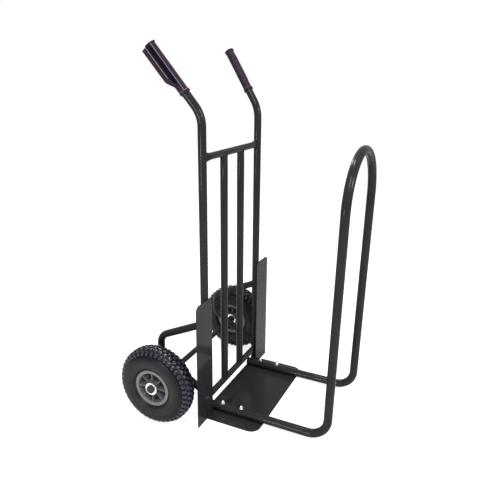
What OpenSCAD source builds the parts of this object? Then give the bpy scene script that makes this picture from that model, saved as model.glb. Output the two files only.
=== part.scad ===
// Fireside log cart: a welded tube hand truck on two air-filled wheels, with a bent tube
// hoop bolted to its toe plate that holds a stack of firewood against the frame.
// X runs across the cart, +Y points back to the wheels and handles, Z is up.
// Left and right are those of the person who holds the handles, so left is +X.

/* [Frame tubes] */
// Outside diameter of the upright and handle tube
tube_d = 26; // [24:0.5:28]
// Wall of every bent tube
tube_wall = 1.5; // [1:0.1:2]
// Distance between the centre lines of the two uprights
upright_spacing = 400; // [380:1:420]
// Height at which the uprights turn into the handles
bend_height = 1006; // [960:1:1060]
// Centre line radius of the handle bend
handle_bend_r = 100; // [70:1:120]
// Length of a handle from the corner of its bend to its end
handle_len = 244; // [230:1:260]
// Angle by which the handles are bent back
handle_bend = 36.8; // [25:0.1:45]
// Angle by which the handles point outwards as they run back
handle_splay = 18.6; // [0:0.1:25]
// Outside diameter of the two crossbars
crossbar_d = 22; // [21:0.5:23]
// Wall of the crossbars and the slats
bar_wall = 1.2; // [1:0.1:1.5]
// Height of the top crossbar's centre line
top_bar_height = 882; // [840:1:900]
// Height of the foot crossbar's centre line
foot_bar_height = 62; // [56:1:100]
// Outside diameter of the upright slats
slat_d = 25; // [23:0.5:26]
// Diameter of a slat where its ends are drawn in for welding
slat_neck_d = 19; // [17:0.5:20]
// Length of a slat's straight neck
slat_neck = 6; // [4:1:12]
// Length of the taper at each end of a slat
slat_taper = 22; // [15:1:30]
// Distance between the centre lines of the two slats
slat_spacing = 123; // [110:1:150]

/* [Toe plate and wheel guards] */
// Width of the toe plate
toe_w = 445; // [440:1:460]
// How far the toe plate reaches in front of the uprights' centre lines
toe_front = 199; // [180:1:220]
// Thickness of the toe plate
toe_t = 4; // [4:0.5:6]
// Radius of the toe plate's front corners
toe_corner_r = 35; // [20:1:45]
// How far a guard's outer edge stays inside the middle of its wheel
guard_inset = 12; // [4:1:20]
// How far a guard's inner edge reaches past its upright's centre line
guard_lap = 20; // [17:1:22]
// Height of the wheel guards
guard_h = 434; // [400:1:460]
// Thickness of the wheel guards
guard_t = 3; // [2:0.5:4]
// Radius of a guard's upper corners
guard_r = 18; // [10:1:25]

/* [Axle and brackets] */
// How far the axle lies behind the uprights' centre lines
axle_back = 133; // [131:1:138]
// Diameter of the axle
axle_d = 20; // [18:0.5:20]
// Outside diameter of the bracket tube
bracket_d = 25; // [23:0.5:26]
// Centre line radius of the bracket's bends
bracket_bend_r = 42; // [38:1:43]
// How far back the bracket's upright part lies
bracket_back = 174; // [172:1:180]
// Height at which the bracket's top leg meets the upright's centre line
bracket_top = 343; // [342:1:360]
// Slope of the bracket's top leg below level
bracket_top_slope = 25; // [22:1:28]
// Slope of the bracket's lower leg below level
bracket_low_slope = 30; // [28:1:32]
// How deep the axle is let into the bracket tube
axle_notch = 1; // [0.5:0.1:1.4]
// Outside diameter of the collars welded to the axle
collar_d = 28; // [26:0.5:32]
// Length of a collar
collar_len = 8; // [5:0.5:10]
// Outside diameter of the axle washers
washer_d = 43; // [38:0.5:46]
// Thickness of the axle washers
washer_t = 2; // [1.5:0.1:2.5]
// Outside diameter of the caps on the axle's ends
cap_d = 27; // [26:0.5:30]
// How far a cap stands out from its washer
cap_h = 6; // [5:0.5:8]

/* [Wheels] */
// Outside diameter of the tyre
tyre_d = 270; // [266:1:272]
// Width of the tyre
tyre_w = 86; // [84:1:88]
// Distance from the cart's middle to the middle of a wheel
wheel_x = 291; // [288:0.5:298]
// Depth of the tread blocks
tread_depth = 4; // [3:0.5:5]
// Number of tread blocks in each row round the tyre
tread_blocks = 44; // [36:2:48]
// Rows of tread blocks on each side of the middle row
tread_rows = 2; // [1:1:2]
// Distance between the middles of two rows of tread blocks
tread_pitch = 14; // [12:0.5:15]
// Width of a tread block across the tyre
block_w = 11; // [9:0.5:11.5]
// Length of a tread block as a share of its pitch round the tyre
block_share = 0.64; // [0.5:0.02:0.8]
// Thickness of the tyre's wall under the tread
tyre_wall = 5; // [4:0.5:6]
// Outside diameter of the rim's flanges
rim_d = 127; // [124:1:132]
// Distance between the outer faces of the rim's flanges
rim_w = 66; // [62:1:68]
// Wall of the moulded rim
rim_wall = 4; // [3.5:0.5:5]
// Number of ribs on each side of the rim
rib_count = 8; // [6:1:12]
// Thickness of a rib
rib_t = 3; // [2:0.5:4]
// Outside diameter of the hub
hub_d = 41; // [38:0.5:42]
// Length of the hub
hub_len = 68; // [64:1:70]
// Bore of the hub that the two bushes are pressed into
hub_bore = 26; // [25:0.1:27]
// Length of a bush inside the hub
bush_len = 26; // [20:1:30]
// Thickness of a bush's flange
bush_flange_t = 1.4; // [1:0.1:2]
// Diameter of a bush's flange
bush_flange_d = 34; // [30:0.5:36]
// Diameter of the valve stem
valve_d = 6; // [5:0.5:7]

/* [Log hoop] */
// Outside diameter of the hoop tube
hoop_d = 28; // [26:0.5:29]
// Gap between an upright and the hoop's rail beside it
rail_gap = 12; // [9:0.5:16]
// How far the hoop's lower corners lie in front of the uprights' centre lines
hoop_reach = 416; // [380:1:440]
// Length of the hoop's legs from the lower corners to the top of the arch
hoop_h = 892; // [840:1:920]
// Forward lean of the hoop's legs from upright
hoop_lean = 1; // [0:0.1:3]
// Centre line radius of the hoop's lower bends
hoop_bend_r = 65; // [50:1:80]
// How far the hoop's rails run back past the uprights' centre lines
rail_back = 8; // [0:1:12]
// Length of a rail's plastic end plug inside the tube
plug_len = 15; // [10:1:20]
// Thickness of an end plug's head
plug_head = 2; // [1.5:0.1:3]
// Diameter of the screws that hold the rails
screw_d = 6; // [5:0.5:6]
// Distance of the rear screws from the uprights' centre lines
screw_rear = 45; // [40:1:60]
// Distance of the front screws from the uprights' centre lines
screw_front = 115; // [90:1:150]

/* [Grips] */
// Length of a grip from its lower collar to its end
grip_len = 168; // [155:1:175]
// Outside diameter of a grip
grip_d = 29; // [28.5:0.5:30]
// Outside diameter of a grip's collar
grip_collar_d = 33.5; // [32:0.5:36]
// Length of a grip's collar
grip_collar = 9; // [6:1:12]
// Outside diameter of the flange at a grip's closed end
grip_flange_d = 34; // [32:0.5:37]
// Thickness of the flange at a grip's closed end
grip_flange = 3.5; // [3:0.5:5]
// Thickness of a grip's closed end
grip_end_t = 4; // [3:0.5:6]
// Distance from the grip's centre line to the middle of the hand guard
hand_guard_r = 34; // [32:0.5:40]
// Thickness of the hand guard
hand_guard_t = 6; // [5:0.5:7]
// Angle that the hand guard spans round the grip
hand_guard_span = 21; // [18:1:28]
// Angle of the hand guard below the outer side of the grip
hand_guard_drop = 11; // [0:1:25]
// Distance from the grip's foot to the root of the hand guard
hand_guard_root = 21; // [16:1:28]
// Length over which the hand guard flares away from the grip
hand_guard_flare = 32; // [26:1:40]
// How far the hand guard stops short of the grip's end
hand_guard_short = 8; // [6:1:20]

/* [Clearances] */
// Gap all round between the axle and a bush
bush_clearance = 0.08; // [0.04:0.01:0.1]
// Gap between a turning wheel and each washer
end_clearance = 0.3; // [0.2:0.05:0.4]
// Gap all round between a part and the bore that it is pushed into
push_clearance = 0.1; // [0.05:0.01:0.15]
// Gap all round a screw in its hole
screw_clearance = 0.3; // [0.2:0.05:0.4]

/* [Hidden] */
$fn = 64;

LEFT = 1;
RIGHT = -1;
// Overlap that carries a cut clear through a face
over = 1;
// How much thinner each side of the wall is in a bend
bend_thinning = 0.05;

paint = [0.13, 0.13, 0.14];
plastic = [0.17, 0.14, 0.18];
rubber = [0.08, 0.08, 0.10];
rim_grey = [0.25, 0.25, 0.26];
zinc = [0.80, 0.80, 0.82];
brass = [0.70, 0.60, 0.35];
nylon = [0.90, 0.89, 0.85];

half_spacing = upright_spacing / 2;
tyre_r = tyre_d / 2;
guard_in = half_spacing - guard_lap;
guard_out = wheel_x - guard_inset;
// The closed end of the grip takes up the last stretch of the handle
handle_tube = handle_len - grip_end_t;

// The cart's box runs from the top of the hoop to the back of the tyres
front_reach = hoop_reach + hoop_h * sin(hoop_lean) + hoop_d / 2;
rear_reach = axle_back + tyre_r;
frame_y = (front_reach - rear_reach) / 2;

rail_x = half_spacing - (tube_d + hoop_d) / 2 - rail_gap;
rail_z = toe_t + hoop_d / 2;

// The bracket's lower leg rides on the axle
saddle_z = tyre_r + ((bracket_d + axle_d) / 2 - axle_notch) / cos(bracket_low_slope);
bracket_foot = saddle_z - axle_back * tan(bracket_low_slope);
bracket_knee = bracket_foot + bracket_back * tan(bracket_low_slope);
bracket_elbow = bracket_top - bracket_back * tan(bracket_top_slope);

// Faces along the axle, measured outwards from the middle of a wheel
bush_face = hub_len / 2 + bush_flange_t;
washer_seat = bush_face + end_clearance;
cap_edge_r = 1.5;
cap_seat = washer_seat + washer_t;
axle_half = wheel_x + cap_seat + cap_h / 2;

// The tyre's section is a circle that the tread cuts off
crown_cut = 1.5;
bead_up = 5.5;
section_r = tyre_w / 2;
section_c = tyre_r - section_r + crown_cut;
bead_r = section_c - section_r + bead_up;
tube_section_r = section_r - tyre_wall - tread_depth - push_clearance;
// A block is flat along its length, so that its corners reach the tyre's full radius
block_len = block_share * PI * tyre_d / tread_blocks;
block_top = sqrt(tyre_r ^ 2 - (block_len / 2) ^ 2);
// The tread begins this far out from the middle of the tyre's section
tread_cut = 19.5;
bead_w = 8;
tube_skin = 2;
barrel_r = bead_r - push_clearance;
// How far a rib's edge lies below the hub's and the rim's outer faces
rib_hub_drop = 5;
rib_rim_drop = 14;

// The stem leaves the inner tube beside the web, and bends outwards between two ribs
valve_in = 12;
valve_root = section_c - sqrt(tube_section_r ^ 2 - valve_in ^ 2) + tube_skin;
// The stem's outer end stands this far inside the barrel
valve_drop = 9;
valve_r = barrel_r - rim_wall - valve_drop;
valve_bend_r = 6;
valve_wall = 1.5;
valve_out = 24;
valve_cap_d = 8.5;
valve_cap_h = 9;
valve_turn = 180 / rib_count;

screw_head_d = 2 * screw_d;
screw_head_h = screw_head_d / 2 - screw_d / 2;
screw_top = rail_z + hoop_d / 2;
socket_across = 4;
socket_depth = 2;
screw_washer_t = 1.6;
screw_washer_d = 14;
nut_across = 10;
nut_h = 5;
nut_dome_r = 4.6;
screw_len = screw_top + screw_washer_t + nut_h;
screw_spots = [for (x = [-rail_x, rail_x], y = [-screw_rear, -screw_front]) [x, y]];

// A grip's edges are rounded, and two ribs run along it beside the hand guard
grip_edge_r = 1.5;
grip_rib_turn = 26;
grip_rib_h = 0.7;
grip_rib_w = 1.5;

function unit(v) = v / norm(v);
// The part of v at right angles to the unit vector n, as a unit vector
function square_to(v, n) = unit(v - (v * n) * n);

// Puts children in a frame whose axes are the unit vectors ex, ey and ez at the point p
module in_frame(ex, ey, ez, p) {
    multmatrix([[ex.x, ey.x, ez.x, p.x],
                [ex.y, ey.y, ez.y, p.y],
                [ex.z, ey.z, ez.z, p.z]]) children();
}

// Moves children from the uprights' plane to the middle of the cart's box
module on_frame() {
    translate([0, frame_y, 0]) children();
}

// How much of each straight run a bend takes up at its corner
function bend_run(r, angle) = r * tan(angle / 2);

// A length of tube wall seen end on
module ring(d, wall) {
    difference() {
        circle(d = d);
        circle(d = d - 2 * wall);
    }
}

// A bent tube, run after run. Each run is [length, roll, bend, radius]: the tube goes on
// straight along Z, turns about itself by roll, and bends towards X. The last has no bend.
// Bending draws the wall a little thinner, and the bend's ends run on inside the straights'
// walls until they have come a quarter of the way to a face.
module bent_tube(runs, d, wall, i = 0) {
    length = runs[i][0];
    if (length > 0) linear_extrude(length) ring(d, wall);
    if (i < len(runs) - 1) {
        bend = runs[i][2];
        r = runs[i][3];
        let_in = sqrt(bend_thinning / r / 2) * 180 / PI;
        translate([0, 0, length]) rotate([0, 0, runs[i][1]]) translate([r, 0, 0]) {
            rotate([0, -let_in, 0]) rotate([90, 0, 180])
                rotate_extrude(angle = bend + 2 * let_in)
                    translate([r, 0]) ring(d - 2 * bend_thinning, wall - 2 * bend_thinning);
            rotate([0, bend, 0]) translate([-r, 0, 0]) bent_tube(runs, d, wall, i + 1);
        }
    }
}

// ---- Frame ------------------------------------------------------------------------------

// One tube from the toe plate to the end of the handle
module upright(side) {
    used = bend_run(handle_bend_r, handle_bend);
    color(paint) on_frame() translate([side * half_spacing, 0, toe_t])
        bent_tube([[bend_height - toe_t - used, 90 - side * handle_splay, handle_bend,
                    handle_bend_r],
                   [handle_tube - used]], tube_d, tube_wall);
}

// The outside of both uprights, which the parts welded to them are coped to
module upright_space() {
    for (side = [LEFT, RIGHT])
        translate([side * half_spacing, 0, 0]) cylinder(d = tube_d, h = bend_height);
}

// A tube between the uprights, with its ends coped to them
module crossbar(height) {
    color(paint) on_frame() difference() {
        translate([-half_spacing, 0, height]) rotate([0, 90, 0]) difference() {
            cylinder(d = crossbar_d, h = upright_spacing);
            translate([0, 0, -over])
                cylinder(d = crossbar_d - 2 * bar_wall, h = upright_spacing + 2 * over);
        }
        upright_space();
    }
}

// An upright tube between the crossbars, drawn in at both ends
module slat(side) {
    low = foot_bar_height;
    high = top_bar_height;
    neck = crossbar_d / 2 + slat_neck;
    function outline(r, neck_r) = [[neck_r, low], [neck_r, low + neck],
        [r, low + neck + slat_taper], [r, high - neck - slat_taper],
        [neck_r, high - neck], [neck_r, high]];
    color(paint) on_frame() difference() {
        translate([side * slat_spacing / 2, 0, 0]) rotate_extrude()
            polygon(concat(outline(slat_d / 2, slat_neck_d / 2),
                           [for (i = [5 : -1 : 0])
                            outline(slat_d / 2 - bar_wall, slat_neck_d / 2 - bar_wall)[i]]));
        for (z = [low, high])
            translate([0, 0, z]) rotate([0, 90, 0])
                cylinder(d = crossbar_d, h = upright_spacing, center = true);
    }
}

// ---- Toe plate and wheel guards ---------------------------------------------------------

// A rectangle from the corner [0, 0] whose two far corners are rounded
module two_round_corners(w, h, r) {
    square([w, h - r]);
    translate([r, 0]) square([w - 2 * r, h]);
    for (x = [r, w - r]) translate([x, h - r]) circle(r = r);
}

// The steel plate that slides under a load; the hoop's screws are sunk into its underside
module toe_plate() {
    depth = toe_front + tube_d / 2;
    color(paint) on_frame() difference() {
        translate([toe_w / 2, tube_d / 2, 0]) rotate([0, 0, 180])
            linear_extrude(toe_t) two_round_corners(toe_w, depth, toe_corner_r);
        for (spot = screw_spots) translate(spot) {
            translate([0, 0, -over])
                cylinder(d = screw_d + 2 * screw_clearance, h = toe_t + 2 * over);
            cylinder(d1 = screw_head_d + 2 * screw_clearance,
                     d2 = screw_d + 2 * screw_clearance, h = screw_head_h);
        }
    }
}

// The upright plate that keeps the logs off a tyre; it stands on the toe plate and beside it
module wheel_guard(side) {
    w = guard_out - guard_in;
    front = tube_d / 2 + guard_t;
    color(paint) on_frame() translate([side * guard_in, -front, 0])
        rotate([90, 0, 0]) mirror([0, 0, 1]) mirror([side == RIGHT ? 1 : 0, 0, 0])
            linear_extrude(guard_t) difference() {
                two_round_corners(w, guard_h, guard_r);
                translate([-over, -over]) square([toe_w / 2 - guard_in + over, toe_t + over]);
            }
}

// ---- Axle and what holds it ------------------------------------------------------------

// Moves children onto the axle's centre line, with Z along it
module on_axle() {
    translate([0, axle_back, tyre_r]) rotate([0, 90, 0]) children();
}

// The bent tube behind an upright that the axle is welded under
module axle_bracket(side) {
    elbow = 90 - bracket_top_slope;
    knee = 90 - bracket_low_slope;
    used_elbow = bend_run(bracket_bend_r, elbow);
    used_knee = bend_run(bracket_bend_r, knee);
    color(paint) on_frame() difference() {
        translate([side * half_spacing, 0, bracket_top])
            rotate([-90 - bracket_top_slope, 0, 0]) rotate([0, 0, 90])
                bent_tube([[bracket_back / cos(bracket_top_slope) - used_elbow, 0, elbow,
                            bracket_bend_r],
                           [bracket_elbow - bracket_knee - used_elbow - used_knee, 0, knee,
                            bracket_bend_r],
                           [bracket_back / cos(bracket_low_slope) - used_knee]],
                          bracket_d, tube_wall);
        upright_space();
        on_axle() cylinder(d = axle_d, h = 2 * axle_half, center = true);
    }
}

module axle() {
    color(paint) on_frame() on_axle() cylinder(d = axle_d, h = 2 * axle_half, center = true);
}

// One ring at each end of the axle, from the distance `from` outwards
module axle_rings(from, d, h) {
    on_frame() on_axle() for (side = [LEFT, RIGHT])
        translate([0, 0, side == LEFT ? from : -from - h]) difference() {
            cylinder(d = d, h = h);
            translate([0, 0, -over])
                cylinder(d = axle_d + 2 * push_clearance, h = h + 2 * over);
        }
}

module inner_washers() {
    color(zinc) axle_rings(wheel_x - washer_seat - washer_t, washer_d, washer_t);
}

module axle_collars() {
    color(paint) axle_rings(wheel_x - washer_seat - washer_t - collar_len, collar_d, collar_len);
}

module outer_washers() {
    color(zinc) axle_rings(wheel_x + washer_seat, washer_d, washer_t);
}

// The domed caps that are pushed over the axle's ends
module axle_caps() {
    color(rubber) on_frame() on_axle() for (side = [LEFT, RIGHT])
        mirror([0, 0, side == LEFT ? 0 : 1]) translate([0, 0, wheel_x + cap_seat])
            difference() {
                rotate_extrude() {
                    square([cap_d / 2, cap_h - cap_edge_r]);
                    square([cap_d / 2 - cap_edge_r, cap_h]);
                    translate([cap_d / 2 - cap_edge_r, cap_h - cap_edge_r])
                        circle(r = cap_edge_r);
                }
                translate([0, 0, -over])
                    cylinder(d = axle_d + 2 * push_clearance, h = cap_h / 2 + over);
            }
}

// ---- Wheels ----------------------------------------------------------------------------

// Moves children to a wheel's middle, with Z pointing outwards along the axle
module on_wheel(side) {
    on_frame() translate([side * wheel_x, axle_back, tyre_r]) rotate([0, side * 90, 0])
        children();
}

// Radius of the tread at the distance z from its middle, sunk by inset
function crown(z, inset) =
    min(block_top - inset, section_c + sqrt((section_r - inset) ^ 2 - z ^ 2));

// The blocks of one stagger in section, with the radius across and the axle upright
module block_section(stagger) {
    root = tread_depth + over;
    for (row = [-tread_rows : tread_rows]) if (abs(row) % 2 == stagger) {
        near = row * tread_pitch - block_w / 2;
        far = near + block_w;
        polygon([[crown(near, root), near], [crown(near, 0), near],
                 [crown(far, 0), far], [crown(far, root), far]]);
    }
}

// The carcass in section: a round body cut off at the rim's flanges, and two beads that
// reach down between them
module carcass_section() {
    edges = [for (row = [-tread_rows - 1 : tread_rows]) (row + 0.5) * tread_pitch];
    edge_z = edges[len(edges) - 1];
    bead_face = rim_w / 2 - rim_wall - push_clearance;
    open_r = rim_d / 2 + 2 * push_clearance;
    difference() {
        union() {
            intersection() {
                translate([section_c, 0]) circle(r = section_r);
                translate([open_r, -tyre_w])
                    square([section_c + tread_cut - open_r, 2 * tyre_w]);
            }
            polygon(concat([[section_c, -edge_z]],
                           [for (z = edges) [crown(z, tread_depth), z]],
                           [[section_c, edge_z]]));
            for (z = [-bead_face, bead_face - bead_w])
                translate([bead_r, z]) square([open_r + over - bead_r, bead_w]);
        }
        translate([section_c, 0]) circle(r = section_r - tread_depth - tyre_wall);
    }
}

// The air-filled tyre: an open carcass with rows of tread blocks, every other row turned by
// half a pitch
module tyre(side) {
    pitch = 360 / tread_blocks;
    color(rubber) on_wheel(side) {
        rotate_extrude() carcass_section();
        for (i = [0 : tread_blocks - 1], stagger = [0, 1])
            rotate([90, 0, (i + stagger / 2) * pitch])
                linear_extrude(block_len, center = true) block_section(stagger);
    }
}

// The inner tube that holds the air
module inner_tube(side) {
    color(rubber) on_wheel(side) difference() {
        rotate_extrude() translate([section_c, 0]) ring(2 * tube_section_r, tube_skin);
        valve_hole(barrel_r, section_c);
    }
}

// The hole for a valve stem, from one radius of the wheel to another
module valve_hole(from, to) {
    rotate([0, 0, valve_turn]) translate([to, 0, valve_in]) rotate([0, -90, 0])
        cylinder(d = valve_d + 2 * push_clearance, h = to - from);
}

// The moulded rim: a barrel with two flanges, a web, ribs and a hub
module rim(side) {
    inner_r = barrel_r - rim_wall;
    rib_hub = hub_len / 2 - rib_hub_drop;
    rib_rim = rim_w / 2 - rib_rim_drop;
    color(rim_grey) on_wheel(side) difference() {
        union() {
            rotate_extrude() {
                translate([inner_r, -rim_w / 2]) square([rim_wall, rim_w]);
                for (z = [-rim_w / 2, rim_w / 2 - rim_wall])
                    translate([inner_r, z]) square([rim_d / 2 - inner_r, rim_wall]);
                translate([0, -rim_wall / 2]) square([inner_r + over, rim_wall]);
                translate([0, -hub_len / 2]) square([hub_d / 2, hub_len]);
            }
            for (i = [0 : rib_count - 1]) rotate([0, 0, i * 360 / rib_count])
                rotate([90, 0, 0]) linear_extrude(rib_t, center = true)
                    polygon([[hub_d / 2 - over, -rib_hub], [hub_d / 2 - over, rib_hub],
                             [inner_r + over, rib_rim], [inner_r + over, -rib_rim]]);
        }
        cylinder(d = hub_bore, h = hub_len + 2 * over, center = true);
        valve_hole(inner_r - over, barrel_r + over);
    }
}

// The two flanged bushes in a hub that turn on the axle
module hub_bushes(side) {
    color(nylon) on_wheel(side) for (end = [0, 1]) mirror([0, 0, end]) difference() {
        union() {
            translate([0, 0, hub_len / 2 - bush_len])
                cylinder(d = hub_bore - 2 * push_clearance, h = bush_len);
            translate([0, 0, hub_len / 2]) cylinder(d = bush_flange_d, h = bush_flange_t);
        }
        cylinder(d = axle_d + 2 * bush_clearance, h = hub_len);
    }
}

// The bent valve stem that comes through the barrel of the rim
module valve(side) {
    used = bend_run(valve_bend_r, 90);
    color(brass) on_wheel(side) rotate([0, 0, valve_turn])
        translate([valve_root, 0, valve_in]) rotate([0, -90, 0])
            bent_tube([[valve_root - valve_r - used, 0, 90, valve_bend_r],
                       [valve_out - valve_in - used]], valve_d, valve_wall);
}

module valve_cap(side) {
    color(rubber) on_wheel(side) rotate([0, 0, valve_turn])
        translate([valve_r, 0, valve_out - valve_cap_h / 2]) difference() {
            cylinder(d = valve_cap_d, h = valve_cap_h);
            translate([0, 0, -over])
                cylinder(d = valve_d + 2 * push_clearance, h = valve_cap_h / 2 + over);
        }
}

// ---- Log hoop --------------------------------------------------------------------------

// One tube: two rails on the toe plate, two legs and a half round arch
module log_hoop() {
    turn = 90 - hoop_lean;
    used = bend_run(hoop_bend_r, turn);
    rail = rail_back + hoop_reach - used;
    leg = hoop_h - rail_x - used;
    color(paint) on_frame() difference() {
        translate([-rail_x, rail_back, rail_z]) rotate([90, 0, 0]) rotate([0, 0, 90])
            bent_tube([[rail, 0, turn, hoop_bend_r], [leg, -90, 180, rail_x],
                       [leg, 90, turn, hoop_bend_r], [rail]], hoop_d, tube_wall);
        for (spot = screw_spots) translate(spot)
            cylinder(d = screw_d + 2 * screw_clearance, h = screw_top + over);
    }
}

// The plastic plugs in the rear ends of the rails
module hoop_end_plugs() {
    color(plastic) on_frame() for (s = [-1, 1])
        translate([s * rail_x, rail_back - plug_len, rail_z]) rotate([-90, 0, 0]) {
            cylinder(d = hoop_d - 2 * tube_wall - 2 * push_clearance, h = plug_len);
            translate([0, 0, plug_len]) cylinder(d = hoop_d, h = plug_head);
        }
}

// Countersunk screws, up through the toe plate and the rails
module hoop_screws() {
    color(zinc) on_frame() for (spot = screw_spots) translate(spot) difference() {
        union() {
            cylinder(d1 = screw_head_d, d2 = screw_d, h = screw_head_h);
            cylinder(d = screw_d, h = screw_len);
        }
        translate([0, 0, -over])
            cylinder(d = socket_across / cos(30), h = over + socket_depth, $fn = 6);
    }
}

module hoop_washers() {
    color(zinc) on_frame() for (spot = screw_spots)
        translate([spot.x, spot.y, screw_top]) difference() {
            cylinder(d = screw_washer_d, h = screw_washer_t);
            translate([0, 0, -over])
                cylinder(d = screw_d + 2 * screw_clearance, h = screw_washer_t + 2 * over);
        }
}

// Domed nuts on top of the rails
module hoop_nuts() {
    color(zinc) on_frame() for (spot = screw_spots)
        translate([spot.x, spot.y, screw_top + screw_washer_t]) difference() {
            union() {
                cylinder(d = nut_across / cos(30), h = nut_h, $fn = 6);
                translate([0, 0, nut_h]) intersection() {
                    sphere(r = nut_dome_r);
                    cylinder(r = nut_dome_r + over, h = nut_dome_r + over);
                }
            }
            translate([0, 0, -over])
                cylinder(d = screw_d + 2 * push_clearance, h = nut_h + over);
        }
}

// ---- Grips -----------------------------------------------------------------------------

// A thick line between two points of a flat outline, with round ends
module stroke(p, q, t) {
    across = [p.y - q.y, q.x - p.x] / norm(q - p) * t / 2;
    polygon([p + across, q + across, q - across, p - across]);
    for (end = [p, q]) translate(end) circle(d = t);
}

// A moulded grip that is closed at its end, with a guard for the knuckles on its outer side
module grip(side) {
    up = [side * sin(handle_bend) * sin(handle_splay), sin(handle_bend) * cos(handle_splay),
          cos(handle_bend)];
    end = [side * half_spacing, 0, bend_height] + up * handle_tube;
    out = square_to([side, 0, 0], up);
    down = side * cross(up, out);
    guard = out * cos(hand_guard_drop) + down * sin(hand_guard_drop);
    foot = grip_end_t - grip_len;
    root = [grip_d / 2 - over, foot + hand_guard_root];
    knee = [hand_guard_r, foot + hand_guard_root + hand_guard_flare];
    color(plastic) on_frame() in_frame(guard, cross(up, guard), up, end) difference() {
        union() {
            rotate_extrude() {
                translate([0, foot]) square([grip_d / 2, grip_len]);
                translate([0, foot]) square([grip_collar_d / 2, grip_collar]);
                translate([0, grip_end_t - grip_flange])
                    square([grip_flange_d / 2 - grip_edge_r, grip_flange]);
                translate([0, grip_end_t - grip_flange])
                    square([grip_flange_d / 2, grip_flange - grip_edge_r]);
                translate([grip_flange_d / 2 - grip_edge_r, grip_end_t - grip_edge_r])
                    circle(r = grip_edge_r);
            }
            for (turn = [-grip_rib_turn, grip_rib_turn]) rotate([0, 0, turn])
                translate([0, -grip_rib_w / 2, foot])
                    cube([grip_d / 2 + grip_rib_h, grip_rib_w, grip_len - grip_edge_r]);
            rotate([0, 0, -hand_guard_span / 2]) rotate_extrude(angle = hand_guard_span) {
                stroke(root, knee, hand_guard_t);
                stroke(knee, [hand_guard_r, grip_end_t - hand_guard_short], hand_guard_t);
            }
        }
        translate([0, 0, foot - over])
            cylinder(d = tube_d + 2 * push_clearance, h = over - foot);
    }
}

upright(LEFT);  // left_upright
upright(RIGHT);  // right_upright
crossbar(top_bar_height);  // top_crossbar
crossbar(foot_bar_height);  // foot_crossbar
slat(LEFT);  // left_slat
slat(RIGHT);  // right_slat
wheel_guard(LEFT);  // left_wheel_guard
wheel_guard(RIGHT);  // right_wheel_guard
toe_plate();
axle_bracket(LEFT);  // left_axle_bracket
axle_bracket(RIGHT);  // right_axle_bracket
axle();
axle_collars();
inner_washers();
outer_washers();
axle_caps();
tyre(LEFT);  // left_tyre
tyre(RIGHT);  // right_tyre
inner_tube(LEFT);  // left_inner_tube
inner_tube(RIGHT);  // right_inner_tube
rim(LEFT);  // left_rim
rim(RIGHT);  // right_rim
hub_bushes(LEFT);  // left_hub_bushes
hub_bushes(RIGHT);  // right_hub_bushes
valve(LEFT);  // left_valve
valve(RIGHT);  // right_valve
valve_cap(LEFT);  // left_valve_cap
valve_cap(RIGHT);  // right_valve_cap
log_hoop();
hoop_end_plugs();
hoop_screws();
hoop_washers();
hoop_nuts();
grip(LEFT);  // left_grip
grip(RIGHT);  // right_grip
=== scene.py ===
import math

import bpy
from mathutils import Matrix, Vector


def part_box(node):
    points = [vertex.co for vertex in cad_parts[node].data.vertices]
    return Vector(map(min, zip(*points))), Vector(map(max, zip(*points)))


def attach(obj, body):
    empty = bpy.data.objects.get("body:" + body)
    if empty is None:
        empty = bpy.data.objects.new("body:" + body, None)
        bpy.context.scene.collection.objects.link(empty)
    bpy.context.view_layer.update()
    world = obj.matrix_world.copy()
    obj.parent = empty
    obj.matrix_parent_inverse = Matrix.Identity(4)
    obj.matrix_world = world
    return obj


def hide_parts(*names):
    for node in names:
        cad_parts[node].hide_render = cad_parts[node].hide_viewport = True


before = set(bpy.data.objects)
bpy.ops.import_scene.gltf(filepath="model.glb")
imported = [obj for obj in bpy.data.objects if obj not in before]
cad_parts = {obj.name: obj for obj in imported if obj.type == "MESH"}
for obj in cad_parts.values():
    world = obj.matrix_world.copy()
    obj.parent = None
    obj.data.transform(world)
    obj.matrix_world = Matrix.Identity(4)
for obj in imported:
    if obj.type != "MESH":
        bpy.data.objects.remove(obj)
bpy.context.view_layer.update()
mm = 0.001
X, Y, Z = Vector((1, 0, 0)), Vector((0, 1, 0)), Vector((0, 0, 1))


# ---- Uprights --------------------------------------------
# Each side of the frame is one steel tube that runs from the toe plate to the end of its
# handle. It is bent once, back and outwards. The whole frame is powder coated black.

def finish(name, colour, roughness, metallic=0.0):
    """A new material and its shader."""
    material = bpy.data.materials.new(name)
    material.use_nodes = True
    shader = material.node_tree.nodes["Principled BSDF"]
    shader.inputs["Base Color"].default_value = (*colour, 1)
    shader.inputs["Roughness"].default_value = roughness
    shader.inputs["Metallic"].default_value = metallic
    return material, shader


def grain(material, size, detail=3.0):
    """Noise over the piece itself, with features about size across."""
    nodes, links = material.node_tree.nodes, material.node_tree.links
    place = nodes.new("ShaderNodeTexCoord")
    noise = nodes.new("ShaderNodeTexNoise")
    noise.inputs["Scale"].default_value = 1 / size
    noise.inputs["Detail"].default_value = detail
    links.new(place.outputs["Object"], noise.inputs["Vector"])
    return noise.outputs["Fac"]


def vary_colour(material, shader, size, dark, light):
    """Lets the colour drift between two shades over patches about size across."""
    mix = material.node_tree.nodes.new("ShaderNodeMix")
    mix.data_type = "RGBA"
    mix.inputs["A"].default_value = (*dark, 1)
    mix.inputs["B"].default_value = (*light, 1)
    material.node_tree.links.new(grain(material, size), mix.inputs["Factor"])
    material.node_tree.links.new(mix.outputs["Result"], shader.inputs["Base Color"])


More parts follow.
